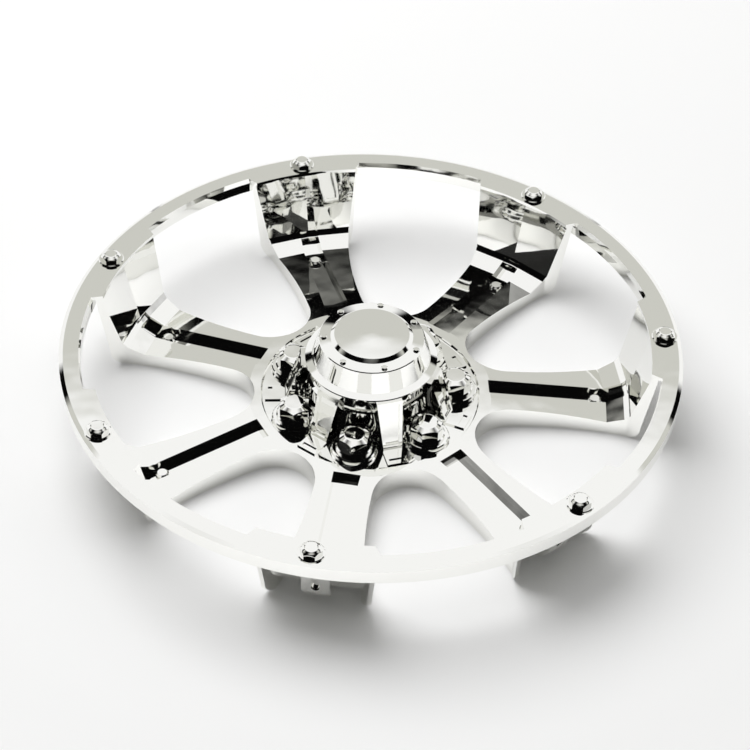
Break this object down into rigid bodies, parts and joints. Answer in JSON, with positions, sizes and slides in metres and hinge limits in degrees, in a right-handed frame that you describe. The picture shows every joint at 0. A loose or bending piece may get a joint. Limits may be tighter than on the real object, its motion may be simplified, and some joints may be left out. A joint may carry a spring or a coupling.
{
  "type": "hubcap",
  "caption": "Round wheel cover with a deep dish, open windows between its spokes, mock wheel nuts round the hub and mock bolts on the rim ring.",
  "frame": {"origin": "centre of the plane that the spokes' lower edges rest on, on the wheel's axis", "axes": "+Z along the wheel's axis, out of the face that shows; one spoke points along +Y"},
  "size_m": [0.411, 0.411, 0.0687],
  "materials": {
    "plated_plastic": "mirror-bright metal plating over moulded plastic"
  },
  "bodies": {
    "root": {"hubcap": "plated_plastic"}
  },
  "joints": []
}
